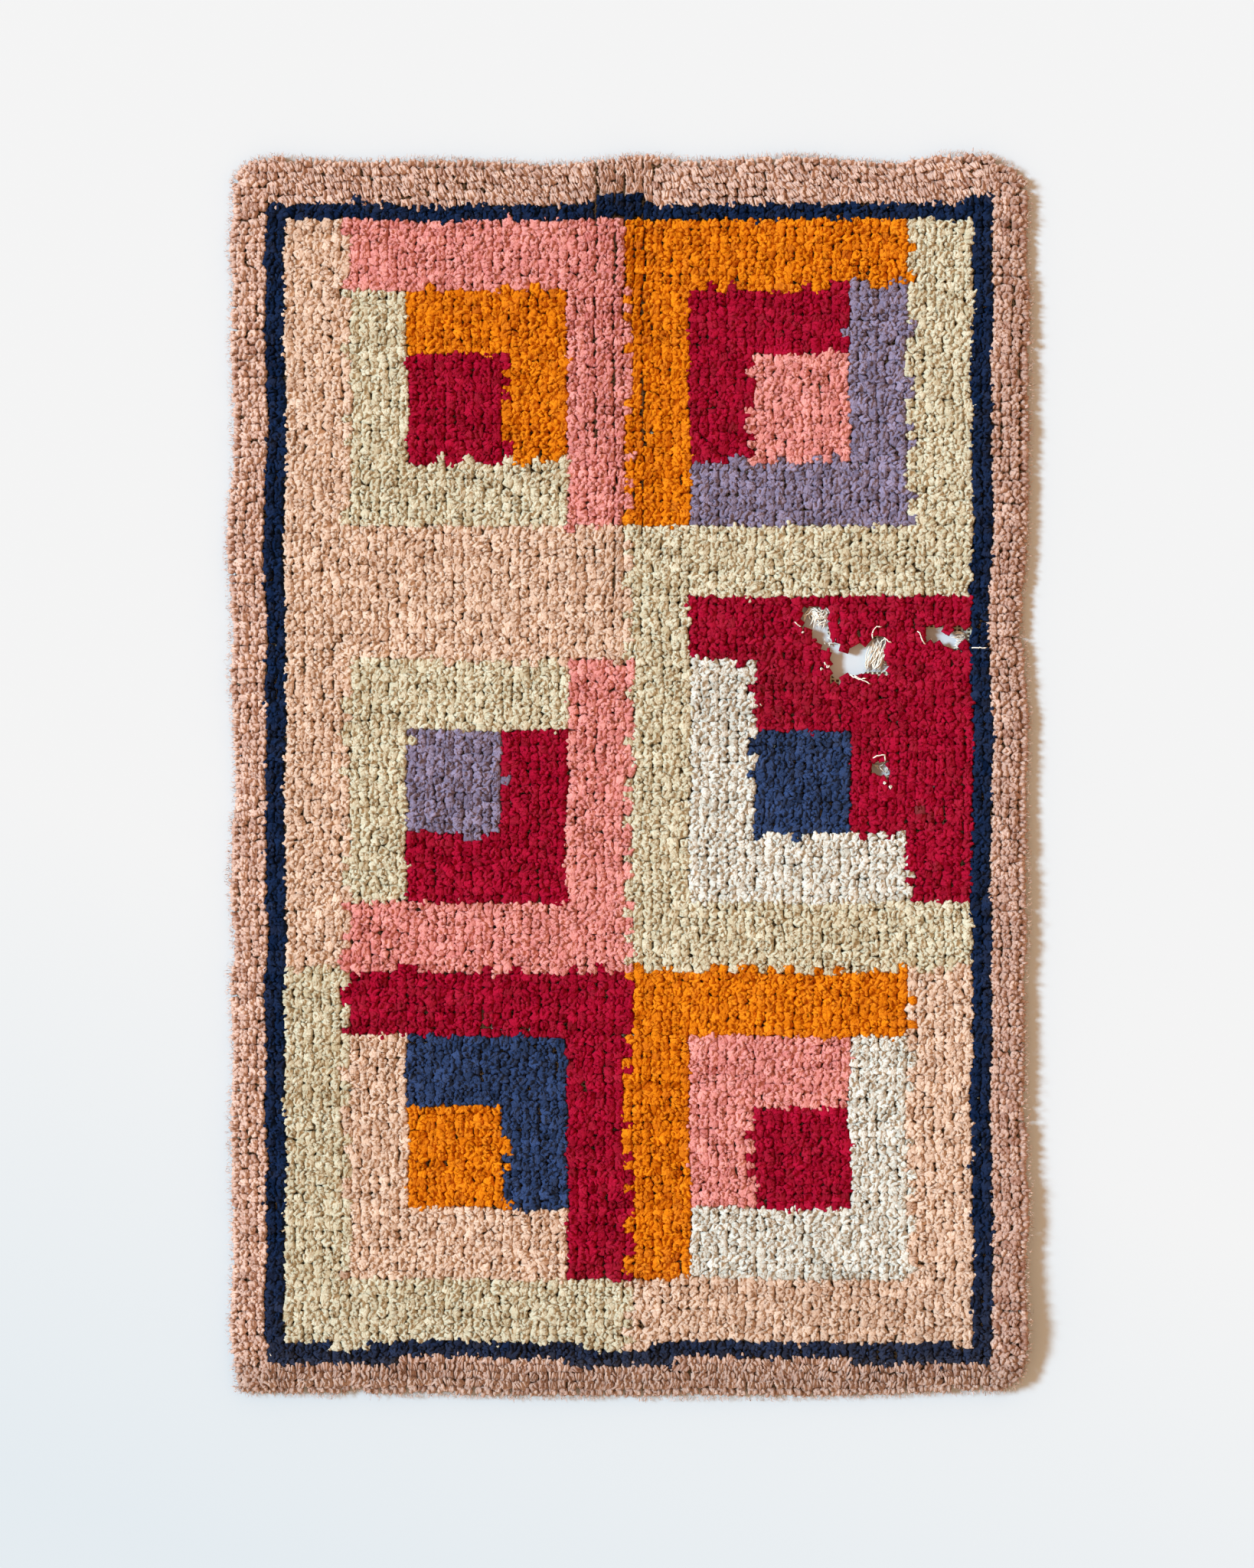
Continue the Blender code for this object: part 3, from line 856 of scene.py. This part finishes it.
def skin(path, radii, first_angle=0.0, flat_foot=True, rounds=1):
    """A closed skin round a path in millimetres: a ring at each inner place and a point at the tip.
    It ends below in a flat face at the first ring, or in a point at the start of the path. Its yarn map
    goes round it as many times as rounds says, so that fibres are as fine on a body as on a ply."""
    path = [Vector(p) for p in path]
    vertices = [] if flat_foot else [tuple(path[0])]
    first = len(vertices)
    side = Vector((1, 0, 0))
    for before, centre, after, radius in zip(path, path[1:], path[2:], radii):
        along = ((centre - before).normalized() + (after - centre).normalized() * 1.3).normalized()
        side = (side - along * side.dot(along)).normalized()
        cross = along.cross(side)
        for k in range(SIDES):
            angle = first_angle + math.tau * k / SIDES
            vertices.append(tuple(centre + (side * math.cos(angle) + cross * math.sin(angle)) * radius))
    vertices.append(tuple(path[-1]))
    far = [0.0]
    for start, end in zip(path, path[1:]):
        far.append(far[-1] + (end - start).length)
    far = [f / far[-1] for f in far]
    faces, uvs = [], []
    last = len(vertices) - 1
    if flat_foot:
        faces.append(tuple(reversed(range(SIDES))))
        uvs += [(rounds * k / SIDES, far[1]) for k in reversed(range(SIDES))]
    for k in range(SIDES):
        m = (k + 1) % SIDES
        low, high, middle = [rounds * turn_share / SIDES for turn_share in (k, k + 1, k + 0.5)]
        if not flat_foot:
            faces.append((0, first + m, first + k))
            uvs += [(middle, far[0]), (high, far[1]), (low, far[1])]
        for ring in range(len(radii) - 1):
            at = first + ring * SIDES
            faces.append((at + k, at + m, at + SIDES + m, at + SIDES + k))
            lower, upper = far[ring + 1], far[ring + 2]
            uvs += [(low, lower), (high, lower), (high, upper), (low, upper)]
        at = first + (len(radii) - 1) * SIDES
        faces.append((at + k, at + m, last))
        uvs += [(low, far[-2]), (high, far[-2]), (middle, far[-1])]
    return vertices, faces, uvs


def tuft_shape(name, skins, shapes):
    """A small mesh object that holds some skins, such as one tuft, kept in a collection."""
    vertices, faces, uvs = [], [], []
    for more, more_faces, more_uvs in skins:
        start = len(vertices)
        vertices += [tuple(c * MM for c in v) for v in more]
        faces += [tuple(start + i for i in face) for face in more_faces]
        uvs += more_uvs
    shape = new_piece(name, vertices, faces, home=shapes)
    layer = shape.data.uv_layers.new(name="yarn")
    layer.data.foreach_set("uv", np.array(uvs, np.float32).ravel())
    return shape


def polar(angle, length):
    return Vector((math.cos(angle) * length, math.sin(angle) * length, 0))


def ply(rng, place, bend, length, top, thick):
    """A ply that bends over at the top, lies along an angle and ends bluntly."""
    foot = Vector((place[0] * PLY_GATHER, place[1] * PLY_GATHER, PLY_FOOT))
    shoulder = Vector((place[0], place[1], top - PLY_SHOULDER + rng.uniform(-0.2, 0.2)))
    crown = shoulder + polar(bend, length) + Vector((0, 0, PLY_RISE))
    tip = crown + polar(bend + rng.normal(0, 0.5), thick * PLY_BLUNT) - Vector((0, 0, PLY_FALL))
    return skin((foot, shoulder, crown, tip), (thick * SHOULDER_SHARE, thick), rng.uniform(0, 6))


def body(rng, top, wide, squareness=0.35):
    """The swollen yarn below the plies. It is four-sided and fills its place between its neighbours."""
    shift = Vector((rng.normal(0, 0.25), rng.normal(0, 0.25), 0))
    angle = math.pi / 4 + rng.normal(0, squareness)
    levels = (top - BODY_SHOULDER, top - BODY_CROWN, top)
    path = [(0, 0, 0)] + [shift * step + Vector((0, 0, height)) for step, height in enumerate(levels, 1)]
    return skin(path, (wide, wide * BODY_TAPER), angle, flat_foot=False, rounds=BODY_ROUNDS)


PLACES = (
    ((-2.5, -0.9), (-0.9, -2.7), (1.0, -0.6), (2.5, -2.4)),
    ((-2.4, -2.5), (-0.7, -0.7), (0.8, -2.6), (2.5, -0.9)),
)


def family(name, shapes, amount, rng, bend, wild, length, thick, uneven, wide, body_top=9.1):
    """Several tufts of one family, each with a body and four plies."""
    for index in range(amount):
        skins = [body(rng, body_top + rng.normal(0, 0.25), wide)]
        for place in PLACES[index % 2]:
            spot = (place[0] + rng.normal(0, 0.35), place[1] + rng.normal(0, 0.4))
            skins.append(ply(
                rng, spot, bend + rng.normal(0, wild), length * rng.uniform(0.7, 1.25),
                TUFT_TOP + rng.normal(0, uneven), thick * rng.uniform(0.85, 1.18),
            ))
        tuft_shape(f"{name}_{index}", skins, shapes)


RIM_BODY = ((0, -1.5, 0.6), (0, 0.2, 4.0), (0, 1.2, 6.6), (0, 1.6, 8.6))
RIM_BODY_THICK = (4.9, 3.9)
RIM_FOOT = (0, -0.6, 0.9)
RIM_FAN = (
    ((-2.0, -1.8, 7.6), (-2.1, -0.2, 9.4), (-2.0, 1.0, 9.4)),
    ((1.9, 0.0, 6.9), (2.0, 1.9, 8.4), (2.0, 3.2, 8.0)),
    ((-1.8, 1.6, 5.2), (-1.9, 3.5, 6.2), (-1.9, 4.8, 5.6)),
    ((1.2, 2.5, 3.2), (1.2, 4.5, 3.6), (1.2, 5.8, 2.9)),
)


def rim_family(name, shapes, amount, rng, thick, uneven):
    """Tufts whose plies fan out over the rim. Local Y is the way out."""
    for index in range(amount):
        angle = math.pi / 4 + rng.normal(0, 0.3)
        skins = [skin(RIM_BODY, RIM_BODY_THICK, angle, flat_foot=False, rounds=BODY_ROUNDS)]
        for points in RIM_FAN:
            path = [Vector(RIM_FOOT)] + [Vector(p) + Vector(rng.normal(0, uneven, 3)) for p in points]
            skins.append(skin(path, (thick * SHOULDER_SHARE, thick), rng.uniform(0, 6)))
        tuft_shape(f"{name}_{index}", skins, shapes)


shapes = bpy.data.collections.new("tuft_shapes")
shape_rng = np.random.default_rng(SEED + 1)
FORWARD = math.pi / 2
family("a_curl", shapes, FIELD_KINDS, shape_rng, FORWARD, 1.1, 3.4, 1.5, 0.5, 6.2)
family("b_close", shapes, PILLOW_KINDS, shape_rng, FORWARD, 0.9, 2.6, 1.75, 0.4, 5.7)
family("c_slant", shapes, SLANT_KINDS, shape_rng, FORWARD, 0.22, 5.6, 1.15, 0.5, 5.9, 8.8)
rim_family("d_rim", shapes, RIM_KINDS, shape_rng, 1.8, 0.5)

# %% [markdown]
# Hooking. A Geometry Nodes tree stands one tuft on every point of a yarn's point mesh. It picks a shape,
# leans it along the reach from foot to crown, turns it about that line, and then lets a fine noise push the
# yarn about, so that no two tufts are the same. One tree serves all ten yarns, and later the loose fibres.

# %% The hooking tree
FLOOR_GAP = 0.3 * MM


def hooking_tree():
    tree = bpy.data.node_groups.new("hook_tufts", "GeometryNodeTree")
    tree.interface.new_socket("Points", in_out="INPUT", socket_type="NodeSocketGeometry")
    tree.interface.new_socket("Tuft shapes", in_out="INPUT", socket_type="NodeSocketCollection")
    for name, value in (("Shape height", TUFT_TOP * MM), ("Yarn swell", 1.0), ("Wander", 1.9 * MM),
                        ("Wander size", 2.4 * MM)):
        tree.interface.new_socket(name, in_out="INPUT", socket_type="NodeSocketFloat").default_value = value
    tree.interface.new_socket("Seed", in_out="INPUT", socket_type="NodeSocketInt").default_value = SEED
    tree.interface.new_socket("Yarn", in_out="INPUT", socket_type="NodeSocketMaterial")
    tree.interface.new_socket("Pile", in_out="OUTPUT", socket_type="NodeSocketGeometry")
    given = add_node(tree, "NodeGroupInput").outputs

    def attribute(name, data_type):
        return add_node(tree, "GeometryNodeInputNamedAttribute", {"Name": name}, data_type=data_type)

    picked = add_node(tree, "GeometryNodeCollectionInfo", {
        "Collection": given["Tuft shapes"], "Separate Children": True, "Reset Children": True,
    })
    reach_in = attribute("reach", "FLOAT_VECTOR")
    leaning = add_node(tree, "FunctionNodeAlignRotationToVector", {"Vector": reach_in}, axis="Z")
    jitter = add_node(tree, "FunctionNodeRandomValue", {"Min": -0.12, "Max": 0.12, "Seed": given["Seed"]})
    angle = add_node(tree, MATH, {0: attribute("turn", "FLOAT"), 1: jitter.outputs[1]}, operation="ADD")
    about = add_node(tree, "FunctionNodeAxisAngleToRotation", {"Axis": (0, 0, 1), "Angle": angle})
    turned = add_node(tree, "FunctionNodeRotateRotation", {"Rotation": leaning, "Rotate By": about},
                      rotation_space="LOCAL")
    long = add_node(tree, VECTOR_MATH, {0: reach_in}, operation="LENGTH")
    stretch = add_node(tree, MATH, {0: long.outputs["Value"], 1: given["Shape height"]}, operation="DIVIDE")
    wide = add_node(tree, MATH, {0: attribute("spread", "FLOAT"), 1: given["Yarn swell"]},
                    operation="MULTIPLY")
    across = add_node(tree, MATH, {0: wide, 1: attribute("narrow", "FLOAT")}, operation="MULTIPLY")
    size = add_node(tree, "ShaderNodeCombineXYZ", {"X": across, "Y": wide, "Z": stretch})
    tufts = add_node(tree, "GeometryNodeInstanceOnPoints", {
        "Points": given["Points"], "Instance": picked, "Pick Instance": True,
        "Instance Index": attribute("kind", "INT"), "Rotation": turned, "Scale": size,
    })
    real = add_node(tree, "GeometryNodeRealizeInstances", {"Geometry": tufts})
    place = add_node(tree, "GeometryNodeInputPosition")
    fineness = add_node(tree, MATH, {0: 1.0, 1: given["Wander size"]}, operation="DIVIDE")
    noise = add_node(tree, NOISE, {
        "Vector": place, "Scale": fineness, "Detail": 1.0, "W": given["Seed"],
    }, noise_dimensions="4D")
    centred = add_node(tree, VECTOR_MATH, {
        0: noise.outputs["Color"], 1: (0.5, 0.5, 0.5),
    }, operation="SUBTRACT")
    push = add_node(tree, VECTOR_MATH, {0: centred, "Scale": given["Wander"]}, operation="SCALE")
    pushed = add_node(tree, "GeometryNodeSetPosition", {"Geometry": real, "Offset": push})
    above_floor = add_node(tree, VECTOR_MATH, {0: place, 1: (-10.0, -10.0, FLOOR_GAP)}, operation="MAXIMUM")
    resting = add_node(tree, "GeometryNodeSetPosition", {"Geometry": pushed, "Position": above_floor})
    dyed = add_node(tree, "GeometryNodeSetMaterial", {"Geometry": resting, "Material": given["Yarn"]})
    add_node(tree, "NodeGroupOutput", {"Pile": dyed})
    return tree


hooking = hooking_tree()
sockets = {item.name: item.identifier for item in hooking.interface.items_tree}
print("hooking tree inputs:", ", ".join(sockets))

# %% Hook every yarn
def kept(piece):
    """Turns a piece with modifiers into a plain mesh."""
    graph = bpy.context.evaluated_depsgraph_get()
    mesh = bpy.data.meshes.new_from_object(
        piece.evaluated_get(graph), preserve_all_data_layers=True, depsgraph=graph,
    )
    piece.modifiers.clear()
    piece.data = mesh
    return piece


def hooked(name, feet, facts, shape_set, material):
    """Stands a shape on every foot and keeps the result as one piece."""
    piece = new_piece(name, feet.tolist(), [])
    for label, values in facts.items():
        kind_of = "FLOAT_VECTOR" if values.ndim == 2 else "INT" if values.dtype.kind == "i" else "FLOAT"
        layer = piece.data.attributes.new(label, kind_of, "POINT")
        layer.data.foreach_set("vector" if values.ndim == 2 else "value", values.ravel())
    hook = piece.modifiers.new("hook_tufts", "NODES")
    hook.node_group = hooking
    hook[sockets["Tuft shapes"]] = shape_set
    hook[sockets["Yarn"]] = material
    kept(piece)
    for label in ("turn", "spread", "narrow", "kind", "reach"):
        if label in piece.data.attributes:
            piece.data.attributes.remove(piece.data.attributes[label])
    print(piece.name, "shapes:", len(feet), "triangles:", triangle_count(piece))
    return piece


facts = {
    "turn": turn, "spread": spread, "narrow": narrow, "kind": kind,
    "tone_and_shade": tone_and_shade, "dirt_and_shade": dirt_and_shade, "reach": reach,
}
feet = np.column_stack([foot, ground])
pile = {}
for name in YARNS:
    mine = yarn == name
    my_facts = {label: values[mine] for label, values in facts.items()}
    pile[name] = hooked(f"pile_{name}", feet[mine], my_facts, shapes, wools[name])

# %% [markdown]
# Worn wool is fuzzy at the edge. Loose fibres stand out of the rim all round, too thin to see one by one, and
# they soften the outline. The same tree places them, with another set of shapes.

# %% Fuzz along the rim
FUZZ_COUNT = 4300
FUZZ_KINDS = 4
FUZZ_THICK = 0.22
FUZZ_LENGTH = (3.5 * MM, 6.5 * MM)
FUZZ_INSET = (1.0 * MM, 4.0 * MM)
FUZZ_LEVEL = (4.0 * MM, 9.5 * MM)
FUZZ_LOW_SHARE = 0.55
FUZZ_SPRAY = 0.45
FUZZ_DROOP = -0.25
FUZZ_TONE = 0.8
FIBRE_BEND = (1.6, 5.5)


def fibre_shape(index, shape_set, rng):
    """One bent wool fibre, a three-sided spindle as tall as a tuft."""
    bend = Vector((rng.normal(0, FIBRE_BEND[0]), rng.normal(0, FIBRE_BEND[0]), FIBRE_BEND[1]))
    ring = [bend + polar(k * math.tau / 3, 1) * FUZZ_THICK for k in range(3)]
    tip = Vector((bend.x * 0.4 + rng.normal(0, 1.5), rng.normal(0, 1.5), TUFT_TOP))
    faces = [(0, 1 + (k + 1) % 3, 1 + k) for k in range(3)]
    faces += [(1 + k, 1 + (k + 1) % 3, 4) for k in range(3)]
    uvs = [(k / 3, 0.9) for k in range(3) for _ in range(3)] * 2
    vertices = [tuple(v) for v in (Vector((0, 0, 0)), *ring, tip)]
    tuft_shape(f"fibre_{index}", [(vertices, faces, uvs)], shape_set)


fibres = bpy.data.collections.new("fibre_shapes")
for index in range(FUZZ_KINDS):
    fibre_shape(index, fibres, shape_rng)
place = random.uniform(0, len(rim), FUZZ_COUNT)
start = place.astype(int)
share = (place - start)[:, None]
on_rim = rim[start] * (1 - share) + rim[(start + 1) % len(rim)] * share
away_there = rim_away[start]
fuzz_inset = random.uniform(*FUZZ_INSET, FUZZ_COUNT)
fuzz_foot = on_rim - away_there * fuzz_inset[:, None]
fuzz_level = random.uniform(*FUZZ_LEVEL, FUZZ_COUNT)
fuzz_level *= FUZZ_LOW_SHARE + (1 - FUZZ_LOW_SHARE) * fuzz_inset / FUZZ_INSET[1]
fuzz_level += lift(fuzz_foot[:, 0], fuzz_foot[:, 1])
fuzz_way = np.column_stack([away_there, random.uniform(-0.2, 0.9, FUZZ_COUNT)])
fuzz_way += random.normal(0, FUZZ_SPRAY, fuzz_way.shape)
fuzz_way[:, 2] = np.maximum(fuzz_way[:, 2], FUZZ_DROOP)
fuzz_way /= np.linalg.norm(fuzz_way, axis=1, keepdims=True)
fuzz_facts = {
    "turn": random.uniform(0, 6, FUZZ_COUNT), "spread": random.uniform(0.7, 1.2, FUZZ_COUNT),
    "kind": random.integers(0, FUZZ_KINDS, FUZZ_COUNT), "tone_and_shade": np.full(FUZZ_COUNT, FUZZ_TONE),
    "dirt_and_shade": np.zeros(FUZZ_COUNT), "narrow": np.ones(FUZZ_COUNT),
    "reach": fuzz_way * random.uniform(*FUZZ_LENGTH, FUZZ_COUNT)[:, None],
}
fuzz_feet = np.column_stack([fuzz_foot, fuzz_level])
pile["fuzz"] = hooked("pile_fuzz", fuzz_feet, fuzz_facts, fibres, wools["pink"])
for shape_set in (fibres, shapes):
    for shape in list(shape_set.objects):
        bpy.data.objects.remove(shape)
    bpy.data.collections.remove(shape_set)

# %% [markdown]
# The broken threads of the canvas. Some still hang into the tears in loose bundles, a few lie curled on the
# pile, and here and there a tuft is missing and a white knot of cotton shows. A bundle is given by where it
# starts, which way it runs and how many threads it has, and a lone thread by the points that it passes.

# %% Frayed threads
Bundle = namedtuple("Bundle", "across along spread_across spread_along angle fan length count")
BUNDLES = (
    Bundle(157, 141, 8, 1, -100, 16, 20, 21), Bundle(146, 137, 3, 3, -30, 18, 17, 16),
    Bundle(165, 131, 1, 6, -170, 22, 14, 12), Bundle(199, 87, 7, 2, 72, 11, 26, 32),
    Bundle(207, 92, 4, 3, 96, 14, 22, 16), Bundle(212, 96, 1, 6, 160, 14, 9, 7),
    Bundle(163, 112, 1, 3, -30, 25, 6, 4), Bundle(277, 113, 1, 4, 186, 15, 13, 18),
    Bundle(243, 109, 1, 1.5, 40, 25, 7, 3), Bundle(200, 12, 1, 2, -18, 20, 9, 5),
    Bundle(213, 3, 2, 1, 115, 22, 8, 5),
)
LONE_THREADS = (
    ((141, 122, 11), (138, 124, 14), (135, 126.5, 13.6)),
    ((199, 112, 9), (199.5, 119, 13), (203, 122.5, 14.3), (207, 122, 13.2)),
    ((206, 108, 9), (209, 113, 13), (212, 110.5, 14), (214.5, 109, 13)),
    ((180, 84, 8), (185, 81, 13.4), (191, 78.6, 14.2), (197.5, 75.8, 13.6)),
    ((184, 83.5, 9), (189, 80, 13.6), (194, 80.4, 14)),
    ((235, 119, 13.2), (238, 116, 14.4), (240, 111, 14), (243, 108, 11)),
    ((279, 106, 11.5), (285, 105.2, 13.6), (293, 105.6, 13)),
    ((199, 15, 13), (204, 17, 14), (209, 17.5, 13.6), (209, 11, 9)),
)
KNOTS = (
    (160.6, 92.8), (157.5, 88), (163, 90), (209, -5), (214, -8), (216, -48), (218, -53), (217, -59),
    (-135.6, 469), (-292, -471.5), (142, 118),
)
THREAD_THICK = 0.45
LONE_THICK = 0.55
KNOT_THICK = 0.6
KNOT_FOOT = 10.6
KNOT_POINTS = 8


def smooth_path(points, steps):
    """A smooth curve through a few points."""
    points = np.array(points, float)
    extended = np.vstack([2 * points[0] - points[1], points, 2 * points[-1] - points[-2]])
    curve = []
    for i in range(len(points) - 1):
        a, b, c, d = extended[i:i + 4]
        for t in np.arange(steps) / steps:
            curve.append(0.5 * (2 * b + (c - a) * t + (2 * a - 5 * b + 4 * c - d) * t ** 2
                                + (3 * b - a - 3 * c + d) * t ** 3))
    return curve + [points[-1]]


def thread(points, rng, thick=THREAD_THICK):
    """A soft cotton thread along a curve, a little uneven in thickness."""
    path = [Vector(p) + Vector(rng.normal(0, 0.3, 3)) for p in points]
    radii = [thick * rng.uniform(0.8, 1.25) for _ in path[1:-1]]
    return skin(path, radii, rng.uniform(0, 6), flat_foot=False)


def knot(place, rng):
    """A short tangle of thread where a tuft is missing."""
    turns = rng.uniform(0, 6)
    points = []
    for i in range(KNOT_POINTS):
        curl = polar(turns + i * 1.25, 1.3 - 0.12 * i)
        points.append((place[0] + curl.x, place[1] + curl.y, KNOT_FOOT + 0.3 * i))
    return thread(points, rng, KNOT_THICK)


thread_rng = np.random.default_rng(SEED + 2)
threads = []
for bundle in BUNDLES:
    for _ in range(bundle.count):
        x0 = bundle.across + thread_rng.uniform(-1, 1) * bundle.spread_across
        y0 = bundle.along + thread_rng.uniform(-1, 1) * bundle.spread_along
        way = math.radians(bundle.angle + thread_rng.normal(0, bundle.fan))
        far_end_at = bundle.length * thread_rng.uniform(0.6, 1.1)
        rise = thread_rng.uniform(1.0, 6.5)
        bow = thread_rng.normal(0, 1.3)
        points = [(x0 + math.cos(way) * t * far_end_at - math.sin(way) * bow * math.sin(math.pi * t),
                   y0 + math.sin(way) * t * far_end_at + math.cos(way) * bow * math.sin(math.pi * t),
                   2.0 + rise * t * (1.6 - 0.7 * t)) for t in np.linspace(0, 1, 6)]
        threads.append(thread(points, thread_rng))
threads += [thread(smooth_path(points, 4), thread_rng, LONE_THICK) for points in LONE_THREADS]
threads += [knot(place, thread_rng) for place in KNOTS]
frays = tuft_shape("canvas_frays", threads, bpy.context.scene.collection)
frays.data.materials.append(fray_finish)
print("threads:", len(threads), "triangles:", triangle_count(frays))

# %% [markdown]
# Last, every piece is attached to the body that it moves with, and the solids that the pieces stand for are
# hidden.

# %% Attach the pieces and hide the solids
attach(canvas, "root")
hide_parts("canvas")
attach(frays, "root")
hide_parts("canvas")
for name, piece in pile.items():
    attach(piece, "root")
    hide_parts("pile")

total = sum(triangle_count(piece) for piece in [canvas, frays, *pile.values()])
print("triangles in all:", total)
